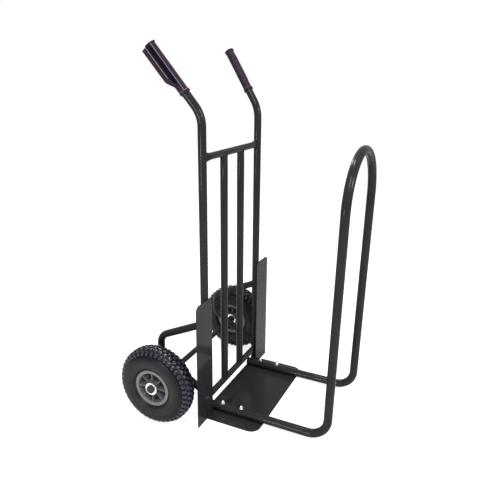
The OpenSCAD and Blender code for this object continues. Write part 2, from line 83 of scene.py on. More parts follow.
def vary_roughness(material, shader, size, low, high):
    """Lets the gloss drift between two levels over patches about size across."""
    # Nearly all of the noise lies between these
    noise_low, noise_high = 0.3, 0.7
    spread = material.node_tree.nodes.new("ShaderNodeMapRange")
    spread.inputs["From Min"].default_value = noise_low
    spread.inputs["From Max"].default_value = noise_high
    spread.inputs["To Min"].default_value = low
    spread.inputs["To Max"].default_value = high
    material.node_tree.links.new(grain(material, size), spread.inputs["Value"])
    material.node_tree.links.new(spread.outputs["Result"], shader.inputs["Roughness"])


def raise_grain(material, shader, size, detail=1, strength=0.4):
    """Gives a surface a very shallow relief with features about size across."""
    relief = 0.03 * mm
    bump = material.node_tree.nodes.new("ShaderNodeBump")
    bump.inputs["Strength"].default_value = strength
    bump.inputs["Distance"].default_value = relief
    material.node_tree.links.new(grain(material, size, detail), bump.inputs["Height"])
    material.node_tree.links.new(bump.outputs["Normal"], shader.inputs["Normal"])


def mottled(name, dark, light, shade_size, gloss, gloss_size, metallic=0.0):
    """A material whose shade and gloss drift over the piece, and its shader."""
    material, shader = finish(name, dark, sum(gloss) / 2, metallic)
    vary_colour(material, shader, shade_size, dark, light)
    vary_roughness(material, shader, gloss_size, *gloss)
    return material, shader


def powder_coat():
    """Semi-gloss black powder coat with a fine orange peel."""
    material, shader = mottled("powder_coat", (0.015, 0.0155, 0.016), (0.022, 0.0225, 0.0235),
                               60 * mm, (0.22, 0.30), 9 * mm)
    raise_grain(material, shader, 2.5 * mm, strength=0.2)
    shader.inputs["Specular IOR Level"].default_value = 0.03
    shader.inputs["Coat Weight"].default_value = 0.16
    shader.inputs["Coat Roughness"].default_value = 0.06
    return material


def bent_path(corners, radii):
    """Points and directions along straight runs that round bends join, one radius a bend."""
    bend_step, least_step = math.radians(4), 0.1 * mm
    stations = [(corners[0], (corners[1] - corners[0]).normalized())]
    for before, corner, after, radius in zip(corners, corners[1:], corners[2:], radii):
        way_in = (corner - before).normalized()
        way_out = (after - corner).normalized()
        bend = way_in.angle(way_out)
        inward = (way_out - way_in * way_out.dot(way_in)).normalized()
        centre = corner - way_in * radius * math.tan(bend / 2) + inward * radius
        steps = math.ceil(bend / bend_step)
        for step in range(steps + 1):
            turn = bend * step / steps
            point = centre + (way_in * math.sin(turn) - inward * math.cos(turn)) * radius
            if (point - stations[-1][0]).length > least_step:
                stations.append((point, way_in * math.cos(turn) + inward * math.sin(turn)))
    stations.append((corners[-1], (corners[-1] - corners[-2]).normalized()))
    return stations


def oval(half_a, half_b, count=48, bow=1.0):
    """An oval outline, point by point; a bow below 1 flattens its sides."""
    points = []
    for i in range(count):
        c, s = [wave(2 * math.pi * i / count) for wave in (math.cos, math.sin)]
        points.append((half_a * math.copysign(abs(c) ** bow, c),
                       half_b * math.copysign(abs(s) ** bow, s)))
    return points


def stacked(name, points, count, looped=False):
    """A closed mesh over rings of count points each; it is capped, or looped end to end."""
    faces, last = [], len(points) - count
    for ring in range(0, len(points) if looped else last, count):
        above = (ring + count) % len(points)
        for i in range(count):
            j = (i + 1) % count
            faces.append((ring + i, ring + j, above + j, above + i))
    if not looped:
        faces.append(tuple(reversed(range(count))))
        faces.append(tuple(range(last, last + count)))
    mesh = bpy.data.meshes.new(name)
    mesh.from_pydata(points, [], faces)
    return mesh


def skin(name, stations, outlines, across):
    """A closed skin over outlines that are threaded on a path."""
    points = []
    for (at, way), outline in zip(stations, outlines):
        across = (across - way * across.dot(way)).normalized()
        other = way.cross(across)
        points += [at + across * a + other * b for a, b in outline]
    return stacked(name, points, len(outlines[0]))


def fit(name, mesh, material, slot, body, *stands_for):
    """Puts a finished mesh on the cart, in place of the nodes it stands for."""
    crease = math.radians(38)
    mesh.materials.append(material)
    mesh.shade_smooth()
    mesh.set_sharp_from_angle(angle=crease)
    made = bpy.data.objects.new(name, mesh)
    bpy.context.scene.collection.objects.link(made)
    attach(made, body)
    if stands_for:
        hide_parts(*stands_for)


paint = powder_coat()
post_r = 13 * mm
post_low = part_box("left_upright")[0]
post_x, post_y, post_foot = post_low.x + post_r, post_low.y + post_r, post_low.z
handle_from = 1006 * mm
handle_len = 240 * mm
handle_back = math.radians(36.8)
handle_splay = math.radians(18.6)
handle_bend_r = 100 * mm
sides = {"left": 1, "right": -1}


def handle_way(side):
    """The direction in which a handle points."""
    flat = math.sin(handle_back)
    return Vector((side * flat * math.sin(handle_splay), flat * math.cos(handle_splay),
                   math.cos(handle_back)))


for name, side in sides.items():
    corner = Vector((side * post_x, post_y, handle_from))
    foot = Vector((side * post_x, post_y, post_foot))
    path = bent_path([foot, corner, corner + handle_way(side) * handle_len], [handle_bend_r])
    mesh = skin(f"{name}_post", path, [oval(post_r, post_r)] * len(path), X)
    fit(f"{name}_post", mesh, paint, "frame_paint", "root", f"{name}_upright")


# ---- Crossbars -------------------------------------------
# Two tubes join the uprights. Their ends are pressed into upright ovals, so that they sit
# against the round uprights, and are welded all round.

def pressed_tube(name, start, end, across, radius, wide, flat):
    """A straight tube whose ends are pressed wide along across and flat the other way."""
    pressed_len, taper, steps, pressed_bow = 8 * mm, 30 * mm, 10, 0.65
    length = (end - start).length
    way = (end - start) / length
    rises = [0, pressed_len] + [pressed_len + taper * i / steps for i in range(1, steps + 1)]
    stops = rises + [length - rise for rise in reversed(rises)]
    stations, outlines = [], []
    for stop in stops:
        from_end = min(stop, length - stop)
        t = min(max((from_end - pressed_len) / taper, 0), 1)
        round_share = t * t * (3 - 2 * t)
        stations.append((start + way * stop, way))
        outlines.append(oval(wide + (radius - wide) * round_share,
                             flat + (radius - flat) * round_share,
                             bow=pressed_bow + (1 - pressed_bow) * round_share))
    return skin(name, stations, outlines, across)


bar_r, bar_wide, bar_flat = 11 * mm, 15 * mm, 5 * mm
# The bars end a little way inside the uprights
bar_let_in = 4 * mm
bar_z = {}
for name in ("top_crossbar", "foot_crossbar"):
    low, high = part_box(name)
    bar_z[name] = (low.z + high.z) / 2
    end = Vector((post_x - post_r + bar_let_in, post_y, bar_z[name]))
    mesh = pressed_tube(f"{name}_tube", Vector((-end.x, end.y, end.z)), end, Z,
                        bar_r, bar_wide, bar_flat)
    fit(f"{name}_tube", mesh, paint, "frame_paint", "root", name)


# ---- Slats -----------------------------------------------
# Two thicker tubes stand between the crossbars and keep the logs off the person behind.
# Their ends are pressed flat in line with the crossbars, which shows as a narrow neck.

slat_r, slat_wide, slat_flat = 12.5 * mm, 14 * mm, 10 * mm
slat_let_in = 2 * mm
slat_x = sum(corner.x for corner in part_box("left_slat")) / 2
slat_ends = (bar_z["foot_crossbar"] + bar_r - slat_let_in,
             bar_z["top_crossbar"] - bar_r + slat_let_in)
for name, side in sides.items():
    foot, head = [Vector((side * slat_x, post_y, z)) for z in slat_ends]
    mesh = pressed_tube(f"{name}_slat_tube", foot, head, X, slat_r, slat_wide, slat_flat)
    fit(f"{name}_slat_tube", mesh, paint, "frame_paint", "root", f"{name}_slat")


# ---- Toe plate -------------------------------------------
# A flat steel plate with two round front corners. The uprights stand on it, and the hoop's
# four screws are sunk into its underside.

def rounded_outline(low, high, radii, inset=0.0):
    """A rectangle's outline whose corners, from low-low on anticlockwise, have radii."""
    points, steps = [], 12
    turns = (math.pi, 1.5 * math.pi, 0, 0.5 * math.pi)
    corners = ((low[0], low[1], 1, 1), (high[0], low[1], -1, 1),
               (high[0], high[1], -1, -1), (low[0], high[1], 1, -1))
    for (x, y, right, up), radius, turn in zip(corners, radii, turns):
        for step in range(steps + 1):
            angle = turn + step / steps * math.pi / 2
            reach = radius - inset
            points.append((x + right * radius + reach * math.cos(angle),
                           y + up * radius + reach * math.sin(angle)))
    return points


def plate(name, low, high, radii, at, way, across, thickness, edge=0.5 * mm):
    """A flat plate with softened edges; its outline lies across way."""
    depths = (0, edge, thickness - edge, thickness)
    outlines = [rounded_outline(low, high, radii, inset) for inset in (edge, 0, 0, edge)]
    return skin(name, [(at + way * depth, way) for depth in depths], outlines, across)


def cut(mesh, cutter):
    """The mesh with the cutter's shape taken out of it."""
    work = bpy.data.objects.new("work", mesh)
    tool = bpy.data.objects.new("tool", cutter)
    for thing in (work, tool):
        bpy.context.scene.collection.objects.link(thing)
    boolean = work.modifiers.new("cut", "BOOLEAN")
    boolean.operation, boolean.object, boolean.solver = "DIFFERENCE", tool, "EXACT"
    view = bpy.context.evaluated_depsgraph_get()
    made = bpy.data.meshes.new_from_object(work.evaluated_get(view))
    for thing in (work, tool):
        bpy.data.objects.remove(thing)
    return made


def lathe(name, profile, count=96):
    """Turns a closed outline of (radius, height) about Z, anticlockwise for an outer skin."""
    points, rings, faces = [], [], []
    for radius, height in profile:
        first = len(points)
        if radius == 0:
            points.append((0, 0, height))
            rings.append([first] * count)
            continue
        points += [(radius * math.cos(2 * math.pi * i / count),
                    radius * math.sin(2 * math.pi * i / count), height) for i in range(count)]
        rings.append(list(range(first, first + count)))
    for near, far in zip(rings, rings[1:] + rings[:1]):
        for i in range(count):
            j = (i + 1) % count
            corners = (near[i], near[j], far[j], far[i])
            face = [c for k, c in enumerate(corners) if c != corners[k - 1]]
            if len(face) > 2:
                faces.append(face)
    mesh = bpy.data.meshes.new(name)
    mesh.from_pydata(points, [], faces)
    return mesh


def moved(mesh, place):
    """The mesh itself, moved to its place."""
    mesh.transform(place)
    return mesh


def gathered(name, meshes):
    """Several meshes as one."""
    points, faces = [], []
    for mesh in meshes:
        first = len(points)
        points += [vertex.co.copy() for vertex in mesh.vertices]
        faces += [[first + corner for corner in face.vertices] for face in mesh.polygons]
    made = bpy.data.meshes.new(name)
    made.from_pydata(points, [], faces)
    return made


toe_low, toe_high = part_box("toe_plate")
toe_t = toe_high.z - toe_low.z
toe_corner_r, toe_back_r = 35 * mm, 1 * mm
hole_sides = 40
screw_r, screw_head_r, screw_slack = 3 * mm, 6 * mm, 0.3 * mm
screw_low, screw_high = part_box("hoop_screws")
screw_spots = [Vector((x, y, 0))
               for x in (screw_low.x + screw_head_r, screw_high.x - screw_head_r)
               for y in (screw_low.y + screw_head_r, screw_high.y - screw_head_r)]
toe = plate("toe_plate_steel", (toe_low.x, toe_low.y), (toe_high.x, toe_high.y),
            (toe_corner_r, toe_corner_r, toe_back_r, toe_back_r),
            Vector((0, 0, toe_low.z)), Z, X, toe_t)
hole_r, seat_r, past = screw_r + screw_slack, screw_head_r + screw_slack, 1 * mm
seat = [(0, -past), (seat_r + past, -past), (hole_r, seat_r - hole_r),
        (hole_r, toe_t + past), (0, toe_t + past)]
holes = [moved(lathe("hole", seat, hole_sides), Matrix.Translation(spot))
         for spot in screw_spots]
fit("toe_plate_steel", cut(toe, gathered("holes", holes)), paint, "frame_paint", "root",
    "toe_plate")


# ---- Wheel guards ----------------------------------------
# Two flat steel plates stand on and beside the toe plate, in front of the uprights. They
# keep the ends of the logs away from the tyres.

def mirrored(mesh, axis):
    """Mirrors a mesh along an axis."""
    mesh.transform(Matrix.Scale(-1, 4, axis))
    mesh.flip_normals()


guard_corner_r, guard_foot_r = 18 * mm, 0.6 * mm
# Half the diagonal of the big square block that clears the toe plate's room
block_r = 1
for name, side in sides.items():
    low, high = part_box(f"{name}_wheel_guard")
    inner, outer = sorted((abs(low.x), abs(high.x)))
    # The outline runs from the inner to the outer edge and from the floor to the top
    at = Vector((0, high.y, 0))
    mesh = plate(f"{name}_guard_plate", (inner, low.z), (outer, high.z),
                 (guard_foot_r, guard_foot_r, guard_corner_r, guard_corner_r),
                 at, -Y, X, high.y - low.y)
    if side < 0:
        mirrored(mesh, X)
    notch = lathe("notch", [(0, low.z - past), (block_r, low.z - past), (block_r, toe_t),
                            (0, toe_t)], count=4)
    notch.transform(Matrix.Rotation(math.pi / 4, 4, "Z"))
    block_x = toe_high.x - block_r * math.sqrt(0.5)
    notch.transform(Matrix.Translation((side * block_x, at.y, 0)))
    fit(f"{name}_guard_plate", cut(mesh, notch), paint, "frame_paint", "root",
        f"{name}_wheel_guard")


# ---- Axle brackets ---------------------------------------
# Behind each upright a bent tube runs back and down, round and forward again to the foot.
# The axle is welded under its lower leg.

bracket_r, bracket_bend_r = 12.5 * mm, 42 * mm
bracket_top_slope, bracket_low_slope = math.radians(25), math.radians(30)
bracket_top, bracket_back = 343 * mm, 174 * mm
bracket_notch = 1 * mm
axle_low, axle_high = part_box("axle")
axle_r = (axle_high.z - axle_low.z) / 2
axle_y, axle_z = axle_low.y + axle_r, axle_low.z + axle_r
saddle_z = axle_z + (bracket_r + axle_r - bracket_notch) / math.cos(bracket_low_slope)
bracket_foot = saddle_z - (axle_y - post_y) * math.tan(bracket_low_slope)
bracket_elbow = bracket_top - bracket_back * math.tan(bracket_top_slope)
bracket_knee = bracket_foot + bracket_back * math.tan(bracket_low_slope)
# The ends stop inside the upright
bracket_let_in = 8 * mm
bracket_ways = (Vector((0, math.cos(bracket_top_slope), -math.sin(bracket_top_slope))),
                Vector((0, math.cos(bracket_low_slope), math.sin(bracket_low_slope))))
for name, side in sides.items():
    top, elbow, knee, foot = [
        Vector((side * post_x, post_y + back, z))
        for back, z in ((0, bracket_top), (bracket_back, bracket_elbow),
                        (bracket_back, bracket_knee), (0, bracket_foot))]
    path = bent_path([top + bracket_ways[0] * bracket_let_in, elbow, knee,
                      foot + bracket_ways[1] * bracket_let_in], [bracket_bend_r] * 2)
    mesh = skin(f"{name}_bracket_tube", path, [oval(bracket_r, bracket_r)] * len(path), X)
    fit(f"{name}_bracket_tube", mesh, paint, "frame_paint", "root", f"{name}_axle_bracket")


# ---- Axle ------------------------------------------------
# A solid steel rod under the two brackets. A welded collar and a zinc-plated washer on each
# side stop the wheel from running in.

def chamfered_ring(inner, outer, length, edge):
    """The outline of a ring, or of a rod, with broken outer edges, standing on Z = 0."""
    return [(inner, 0), (outer - edge, 0), (outer, edge), (outer, length - edge),
            (outer - edge, length), (inner, length)]


def zinc_plate():
    """Bright zinc plate, faintly mottled."""
    return mottled("zinc_plate", (0.80, 0.81, 0.83), (0.92, 0.93, 0.94), 6 * mm,
                   (0.22, 0.38), 2 * mm, metallic=1.0)[0]


def on_axle(x, way):
    """Where a turned piece goes that starts at x, its Z to the left (1) or the right (-1)."""
    return (Matrix.Translation((x, axle_y, axle_z))
            @ Matrix.Rotation(way * math.pi / 2, 4, "Y"))


def fit_both_ends(name, profile, start, material, slot, node):
    """A turned piece at each end of the axle, its profile running outwards from start."""
    ends = [moved(lathe(name, profile), on_axle(side * start, side))
            for side in sides.values()]
    fit(name, gathered(name, ends), material, slot, "root", node)


zinc = zinc_plate()
slack = 0.1 * mm
bore_r = axle_r + slack
axle_edge, collar_edge, washer_edge = 1 * mm, 0.8 * mm, 0.4 * mm
axle_sides = 64
rod = lathe("axle_rod", chamfered_ring(0, axle_r, axle_high.x - axle_low.x, axle_edge),
            axle_sides)
fit("axle_rod", moved(rod, on_axle(axle_low.x, 1)), paint, "frame_paint", "root", "axle")

collar_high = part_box("axle_collars")[1]
collar_r, collar_len = collar_high.z - axle_z, 8 * mm
fit_both_ends("welded_collars", chamfered_ring(bore_r, collar_r, collar_len, collar_edge),
              collar_high.x - collar_len, paint, "frame_paint", "axle_collars")
washer_t = 2 * mm
for node in ("inner_washers", "outer_washers"):
    washer_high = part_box(node)[1]
    washer_r = washer_high.z - axle_z
    fit_both_ends(f"{node}_zinc", chamfered_ring(bore_r, washer_r, washer_t, washer_edge),
                  washer_high.x - washer_t, zinc, "zinc", node)


# ---- Frame welds -----------------------------------------
# Every joint of the frame is run round with a rippled weld before painting: the crossbars,
# slats, brackets and feet, the guards' stitches, and the axle under its brackets.

bead, seam_points = 2.2 * mm, 128


def meeting_line(tube_way, across, half_a, half_b, post_at, post_way, around_r):
    """Where the skin of a tube that starts on a post's centre line leaves the post's skin."""
    other, line = tube_way.cross(across), []
    for aside, along in oval(half_a, half_b, seam_points):
        off = across * aside + other * along
        off_flat = off - post_way * off.dot(post_way)
        way_flat = tube_way - post_way * tube_way.dot(post_way)
        a, b = way_flat.dot(way_flat), off_flat.dot(way_flat)
        c = off_flat.dot(off_flat) - around_r ** 2
        line.append(post_at + off + tube_way * (math.sqrt(b * b - a * c) - b) / a)
    return line


def weld_bead(line, size, closed=True):
    """A rippled bead along a line of evenly spaced points; an open one thins to its ends."""
    ripple_len, ripple, around, thinning = 2.4 * mm, 0.14, 10, 0.3
    count = len(line)
    middle = sum(line, Vector()) / count
    length = sum((b - a).length for a, b in zip(line, line[1:]))
    ripples = max(1, round(length / ripple_len))
    points = []
    for i, at in enumerate(line):
        ahead = line[(i + 1) % count] if closed else line[min(i + 1, count - 1)]
        behind = line[i - 1] if closed else line[max(i - 1, 0)]
        way = (ahead - behind).normalized()
        out = at - middle if closed else Z.cross(way) + X
        out = (out - way * out.dot(way)).normalized()
        other = way.cross(out)
        taper = 1 if closed else math.sin(math.pi * (i + 0.5) / count) ** thinning
        r = size * taper * (1 + ripple * math.cos(2 * math.pi * ripples * i / count))
        points += [at + out * a + other * b for a, b in oval(r, r, around)]
    return stacked("bead", points, around, looped=closed)


# The guards' stitches: heights of their lower ends, and their place on the upright
stitch_len, stitch_step, stitch_sink = 25 * mm, 1 * mm, 0.2 * mm
stitch_heights = (60 * mm, 215 * mm, 380 * mm)
stitch_x = post_r * 0.35
stitch_y = math.sqrt(post_r ** 2 - stitch_x ** 2) + stitch_sink
# The axle's welds, from the axle's middle
saddle_back, saddle_up, saddle_tilt = axle_r * 0.75, axle_r * 0.9, axle_r * 0.35
saddle_half = bracket_r * 0.7
beads = []
for side in sides.values():
    post = Vector((side * post_x, post_y, 0))
    seams = [[post + Vector((a, b, toe_high.z))
              for a, b in oval(post_r, post_r, seam_points)]]
    seams += [meeting_line(-side * X, Z, bar_wide, bar_flat, post + Z * z, Z, post_r)
              for z in bar_z.values()]
    seams += [meeting_line(way, X, bracket_r, bracket_r, post + Z * z, Z, post_r)
              for z, way in zip((bracket_top, bracket_foot), bracket_ways)]
    seams += [meeting_line(way, X, slat_wide, slat_flat, Vector((side * slat_x, post_y, z)),
                           X, bar_r) for z, way in zip(bar_z.values(), (-Z, Z))]
    # The guard is stitched to its upright on both sides of the tube
    stitches = [[Vector((side * post_x + edge * stitch_x, post_y - stitch_y,
                         z + stitch_step * i)) for i in range(round(stitch_len / stitch_step))]
                for z in stitch_heights for edge in (-1, 1)]
    # The axle is welded to the bracket in front of and behind the saddle
    stitches += [[Vector((side * post_x - saddle_half + stitch_step * i,
                          axle_y + back * saddle_back,
                          axle_z + saddle_up + back * saddle_tilt))
                  for i in range(round(2 * saddle_half / stitch_step))] for back in (-1, 1)]
    beads += [weld_bead(seam, bead) for seam in seams]
    beads += [weld_bead(stitch, bead, closed=False) for stitch in stitches]
fit("frame_welds", gathered("frame_welds", beads), paint, "frame_paint", "root")


# ---- Rims ------------------------------------------------
# Each rim is one moulding of dark grey plastic: a barrel between two flanges that hold the
# tyre, a web in the middle, a hub, and eight thin ribs on each side.

def moulded_grey():
    """Satin dark grey plastic, as it comes from the mould."""
    material, shader = mottled("moulded_grey", (0.125, 0.126, 0.130), (0.155, 0.156, 0.160),
                               25 * mm, (0.38, 0.5), 4 * mm)
    raise_grain(material, shader, 0.7 * mm)
    return material


def mirrored_outline(half):
    """A closed outline from its upper half, whose first point is the outermost."""
    return [(r, -z) for r, z in reversed(half)] + half


rim_low, rim_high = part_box("left_rim")
rim_at = (rim_low + rim_high) / 2
hub_half = (rim_high.x - rim_low.x) / 2
rim_r = rim_high.z - rim_at.z


def on_wheel(side):
    """Where a wheel's middle is, with Z outwards along the axle."""
    return (Matrix.Translation((side * rim_at.x, rim_at.y, rim_at.z))
            @ Matrix.Rotation(side * math.pi / 2, 4, "Y"))


flange_half, flange_t = 33 * mm, 4 * mm
barrel_r, barrel_in, ring_in = 55.9 * mm, 51.6 * mm, 52.4 * mm
web_half, hub_r, hub_bore_r = 2 * mm, 20.5 * mm, 13 * mm
rib_count, rib_turn = 8, math.radians(1)
rib_foot_t, rib_top_t = 2.8 * mm, 1.9 * mm
rib_hub_z, rib_rim_z, rib_let_in = 30 * mm, 30.5 * mm, 1 * mm
barrel_sides = 120
grey = moulded_grey()


def rim_rib(turn, face):
    """A thin rib from the hub to the barrel, thinner at its top than at the web."""
    near, far = hub_r - rib_let_in, barrel_in + rib_let_in
    corners = [(near, 0, rib_foot_t), (far, 0, rib_foot_t), (far, rib_rim_z, rib_top_t),
               (near, rib_hub_z, rib_top_t)]
    points = [(r, half * t / 2, z) for half in (1, -1) for r, z, t in corners]
    mesh = moved(stacked("rib", points, len(corners)), Matrix.Rotation(turn, 4, "Z"))
    if face < 0:
        mirrored(mesh, Z)
    return mesh


rim_edge, rim_round = 0.9 * mm, 2.4 * mm
half_rim = [(barrel_r, flange_half - flange_t), (rim_r, flange_half - flange_t),
            (rim_r, flange_half - rim_edge), (rim_r - rim_edge, flange_half),
            (ring_in + rim_edge, flange_half), (ring_in, flange_half - rim_edge),
            (barrel_in, flange_half - rim_round - rim_edge),
            (barrel_in - rim_edge / 2, web_half + rim_round), (barrel_in - rim_round, web_half),
            (hub_r + rim_round, web_half), (hub_r, web_half + rim_round),
            (hub_r - rim_edge / 2, hub_half - rim_edge), (hub_r - rim_edge * 1.5, hub_half),
            (hub_bore_r, hub_half)]
for name, side in sides.items():
    parts = [lathe("barrel", mirrored_outline(half_rim), barrel_sides)]
    for face in (1, -1):
        parts += [rim_rib(rib_turn + 2 * math.pi * i / rib_count, face)
                  for i in range(rib_count)]
    mesh = moved(gathered(f"{name}_rim_moulding", parts), on_wheel(side))
    fit(f"{name}_rim_moulding", mesh, grey, "rim_plastic", f"wheel_{name}", f"{name}_rim")


# ---- Tyres -----------------------------------------------
# Air-filled rubber tyres on beads between the rim's flanges. The tread is five rows of
# rounded blocks, every other row turned by half a pitch; each sidewall has moulded rings.

def past_radius(material, near, far):
    """Goes from 0 to 1 between two radii round the axle."""
    nodes, links = material.node_tree.nodes, material.node_tree.links
    place = nodes.new("ShaderNodeTexCoord")
    across = nodes.new("ShaderNodeVectorMath")
    across.operation = "MULTIPLY"
    across.inputs[1].default_value = (0, 1, 1)
    reach = nodes.new("ShaderNodeVectorMath")
    reach.operation = "DISTANCE"
    reach.inputs[1].default_value = (0, rim_at.y, rim_at.z)
    spread = nodes.new("ShaderNodeMapRange")
    spread.inputs["From Min"].default_value = near
    spread.inputs["From Max"].default_value = far
    links.new(place.outputs["Object"], across.inputs[0])
    links.new(across.outputs["Vector"], reach.inputs[0])
    links.new(reach.outputs["Value"], spread.inputs["Value"])
    return spread.outputs["Result"]


def tyre_rubber():
    """Black rubber: satin and faintly brown on the sidewall, bluer towards the tread."""
    shoulder_from, shoulder_to = 94 * mm, 110 * mm
    material, shader = mottled("tyre_rubber", (0.007, 0.0068, 0.0056),
                               (0.020, 0.0192, 0.0158), 22 * mm, (0.30, 0.46), 6 * mm)
    shader.inputs["Specular IOR Level"].default_value = 0.2
    wall_colour = shader.inputs["Base Color"].links[0].from_socket
    tread = material.node_tree.nodes.new("ShaderNodeMix")
    tread.data_type = "RGBA"
    tread.inputs["B"].default_value = (0.0035, 0.0025, 0.0060, 1)
    links = material.node_tree.links
    links.new(past_radius(material, shoulder_from, shoulder_to), tread.inputs["Factor"])
    links.new(wall_colour, tread.inputs["A"])
    links.new(tread.outputs["Result"], shader.inputs["Base Color"])
    raise_grain(material, shader, 0.9 * mm, detail=2)
    return material


def tread_rubber():
    """The tread's blocks, rubbed clean and slightly shiny on top."""
    material, shader = mottled("tread_rubber", (0.004, 0.0033, 0.0055), (0.009, 0.0075, 0.012),
                               8 * mm, (0.26, 0.42), 4 * mm)
    shader.inputs["Specular IOR Level"].default_value = 0.7
    shader.inputs["Specular Tint"].default_value = (0.80, 0.78, 1.0, 1)
    raise_grain(material, shader, 0.9 * mm, detail=2)
    return material


tyre_r = rim_at.z
section_r = 43 * mm
section_c = 93.5 * mm
block_rows, block_count = 2, 44
row_pitch, block_w, block_share = 14 * mm, 11 * mm, 0.68
block_len = block_share * 2 * math.pi * tyre_r / block_count
block_sides, block_squareness = 20, 0.5
# The crown stays low enough for a flat 15 mm long to keep inside the tyre's radius
crown_top = math.sqrt(tyre_r ** 2 - (7.5 * mm) ** 2)
tread_depth, wall = 4 * mm, 5 * mm
bead_in, bead_half, bead_w, bead_up = 56 * mm, 28.9 * mm, 8 * mm, 9 * mm
rim_gap, wall_sink = 0.2 * mm, 0.4 * mm
# Where the sidewall starts and ends, in degrees round the section
wall_from, wall_to, wall_step = 32, -36, -2
# Radius and half width of the points in the groove between the sidewall and the flange
groove = [(67.4 * mm, 33.6 * mm), (66 * mm, 31 * mm), (65 * mm, 30.2 * mm)]
groove_half = 30 * mm
carcass_sides = 180


def crown(z, depth):
    """Radius of the tread at the distance z from its middle, sunk by depth."""
    bow = math.sqrt((section_r - depth) ** 2 - z ** 2)
    return min(crown_top - depth, section_c + bow)


def sidewall(turn):
    """A point of the sidewall, turn degrees round the section from the axle's direction."""
    # The moulded rings: where each one is, how high and how wide
    rings = ((-27, 1.7 * mm, 4.5), (-13, 0.6 * mm, 1.6), (20, 0.6 * mm, 1.8))
    swell = sum(height * math.exp(-((turn - at) / width) ** 2) for at, height, width in rings)
    r = section_r + swell - wall_sink
    angle = math.radians(turn)
    return section_c + r * math.sin(angle), r * math.cos(angle)


def tread_block(row, turn):
    """One rounded block that follows the crown; its foot is sunk into the carcass."""
    # Each level's share of the tread's depth and of the block's full outline
    levels = ((-0.3, 1.0), (0.5, 0.94), (0.86, 0.88), (1.0, 0.74))
    points = []
    for lift, spread in levels:
        for along, aside in oval(spread * block_len / 2, spread * block_w / 2, block_sides,
                                 block_squareness):
            z = row * row_pitch + aside
            root = crown(z, tread_depth)
            r = root + lift * (crown(z, 0) - root)
            angle = turn + along / tyre_r
            points.append(Vector((r * math.cos(angle), r * math.sin(angle), z)))
    return stacked("block", points, block_sides)


def carcass_outline():
    """The tyre's section: tread base, shoulder, sidewall, bead and the hollow inside."""
    tread_half = (block_rows + 0.5) * row_pitch
    steps = 16
    half = [(crown(tread_half * i / steps, tread_depth), tread_half * i / steps)
            for i in range(1, steps)]
    half += [sidewall(turn) for turn in range(wall_from, wall_to, wall_step)]
    flange = rim_r + rim_gap
    # The bead turns in behind the flange's edge, which leaves a groove round the rim
    half += groove + [(flange, groove_half), (flange, bead_half + rim_gap),
                      (flange - rim_gap, bead_half), (bead_in, bead_half),
                      (bead_in, bead_half - bead_w)]
    hollow = section_r - tread_depth - wall
    start = math.atan2(bead_half - bead_w, bead_in + bead_up - section_c)
    half += [(section_c + hollow * math.cos(start * (1 - i / steps)),
              hollow * math.sin(start * (1 - i / steps))) for i in range(steps)]
    inner = [(section_c + hollow, 0)]
    # Up the near half, down the far half, so that the loop closes at the crown
    return [(crown(0, tread_depth), 0)] + half + inner + [(r, -z) for r, z in reversed(half)]


rubber, tread_finish = tyre_rubber(), tread_rubber()
for name, side in sides.items():
    parts = [lathe("carcass", carcass_outline(), carcass_sides)]
    carcass_faces = len(parts[0].polygons)
    for row in range(-block_rows, block_rows + 1):
        for i in range(block_count):
            turn = 2 * math.pi * (i + 0.5 * (abs(row) % 2)) / block_count
            parts.append(tread_block(row, turn))
    mesh = moved(gathered(f"{name}_tyre_rubber", parts), on_wheel(side))
    fit(f"{name}_tyre_rubber", mesh, rubber, "tyre_rubber", f"wheel_{name}", f"{name}_tyre")
    mesh.materials.append(tread_finish)
    for face in mesh.polygons[carcass_faces:]:
        face.material_index = 1


# ---- Wheel fittings --------------------------------------
# In each wheel lie an inner tube, a brass valve with its plastic cap, and two pale nylon
# bushes that are pressed into the hub. They turn with the wheel.

def coat(node, material):
    """Gives a piece of the frame model a finish."""
    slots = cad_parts[node].data.materials
    slots.clear()
    slots.append(material)


def plain_moulding(name, dark, light, gloss):
    """Moulded plastic with a soft change of shade and a fine grain."""
    patch = 5 * mm
    material, shader = mottled(name, dark, light, patch, gloss, patch)
    shader.inputs["Specular IOR Level"].default_value = 0.2
    raise_grain(material, shader, 0.6 * mm)
    return material


nylon = plain_moulding("bush_nylon", (0.62, 0.60, 0.54), (0.72, 0.70, 0.64), (0.40, 0.52))
black_trim = plain_moulding("black_trim", (0.016, 0.016, 0.018), (0.028, 0.028, 0.031),
                            (0.37, 0.49))
brass = mottled("valve_brass", (0.50, 0.36, 0.15), (0.68, 0.52, 0.25), 3 * mm, (0.25, 0.45),
                1 * mm, metallic=1.0)[0]
for name in sides:
    coat(f"{name}_inner_tube", rubber)
    coat(f"{name}_hub_bushes", nylon)
    coat(f"{name}_valve", brass)
    coat(f"{name}_valve_cap", black_trim)


# ---- Axle caps -------------------------------------------
# A black plastic cap is pushed over each end of the axle, against the outer washer. Its face
# is slightly sunk inside a raised edge.

def rounded_rim(radius, top, edge):
    """Points round the outer top edge of a turned piece."""
    turns = [math.radians(turn) for turn in range(0, 91, 15)]
    return [(radius - edge * (1 - math.cos(turn)), top - edge * (1 - math.sin(turn)))
            for turn in turns]


cap_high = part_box("axle_caps")[1]
cap_r = cap_high.z - axle_z
cap_h = cap_high.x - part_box("outer_washers")[1].x
cap_edge, cap_rim_w, cap_sink = 1.5 * mm, 3.2 * mm, 0.8 * mm
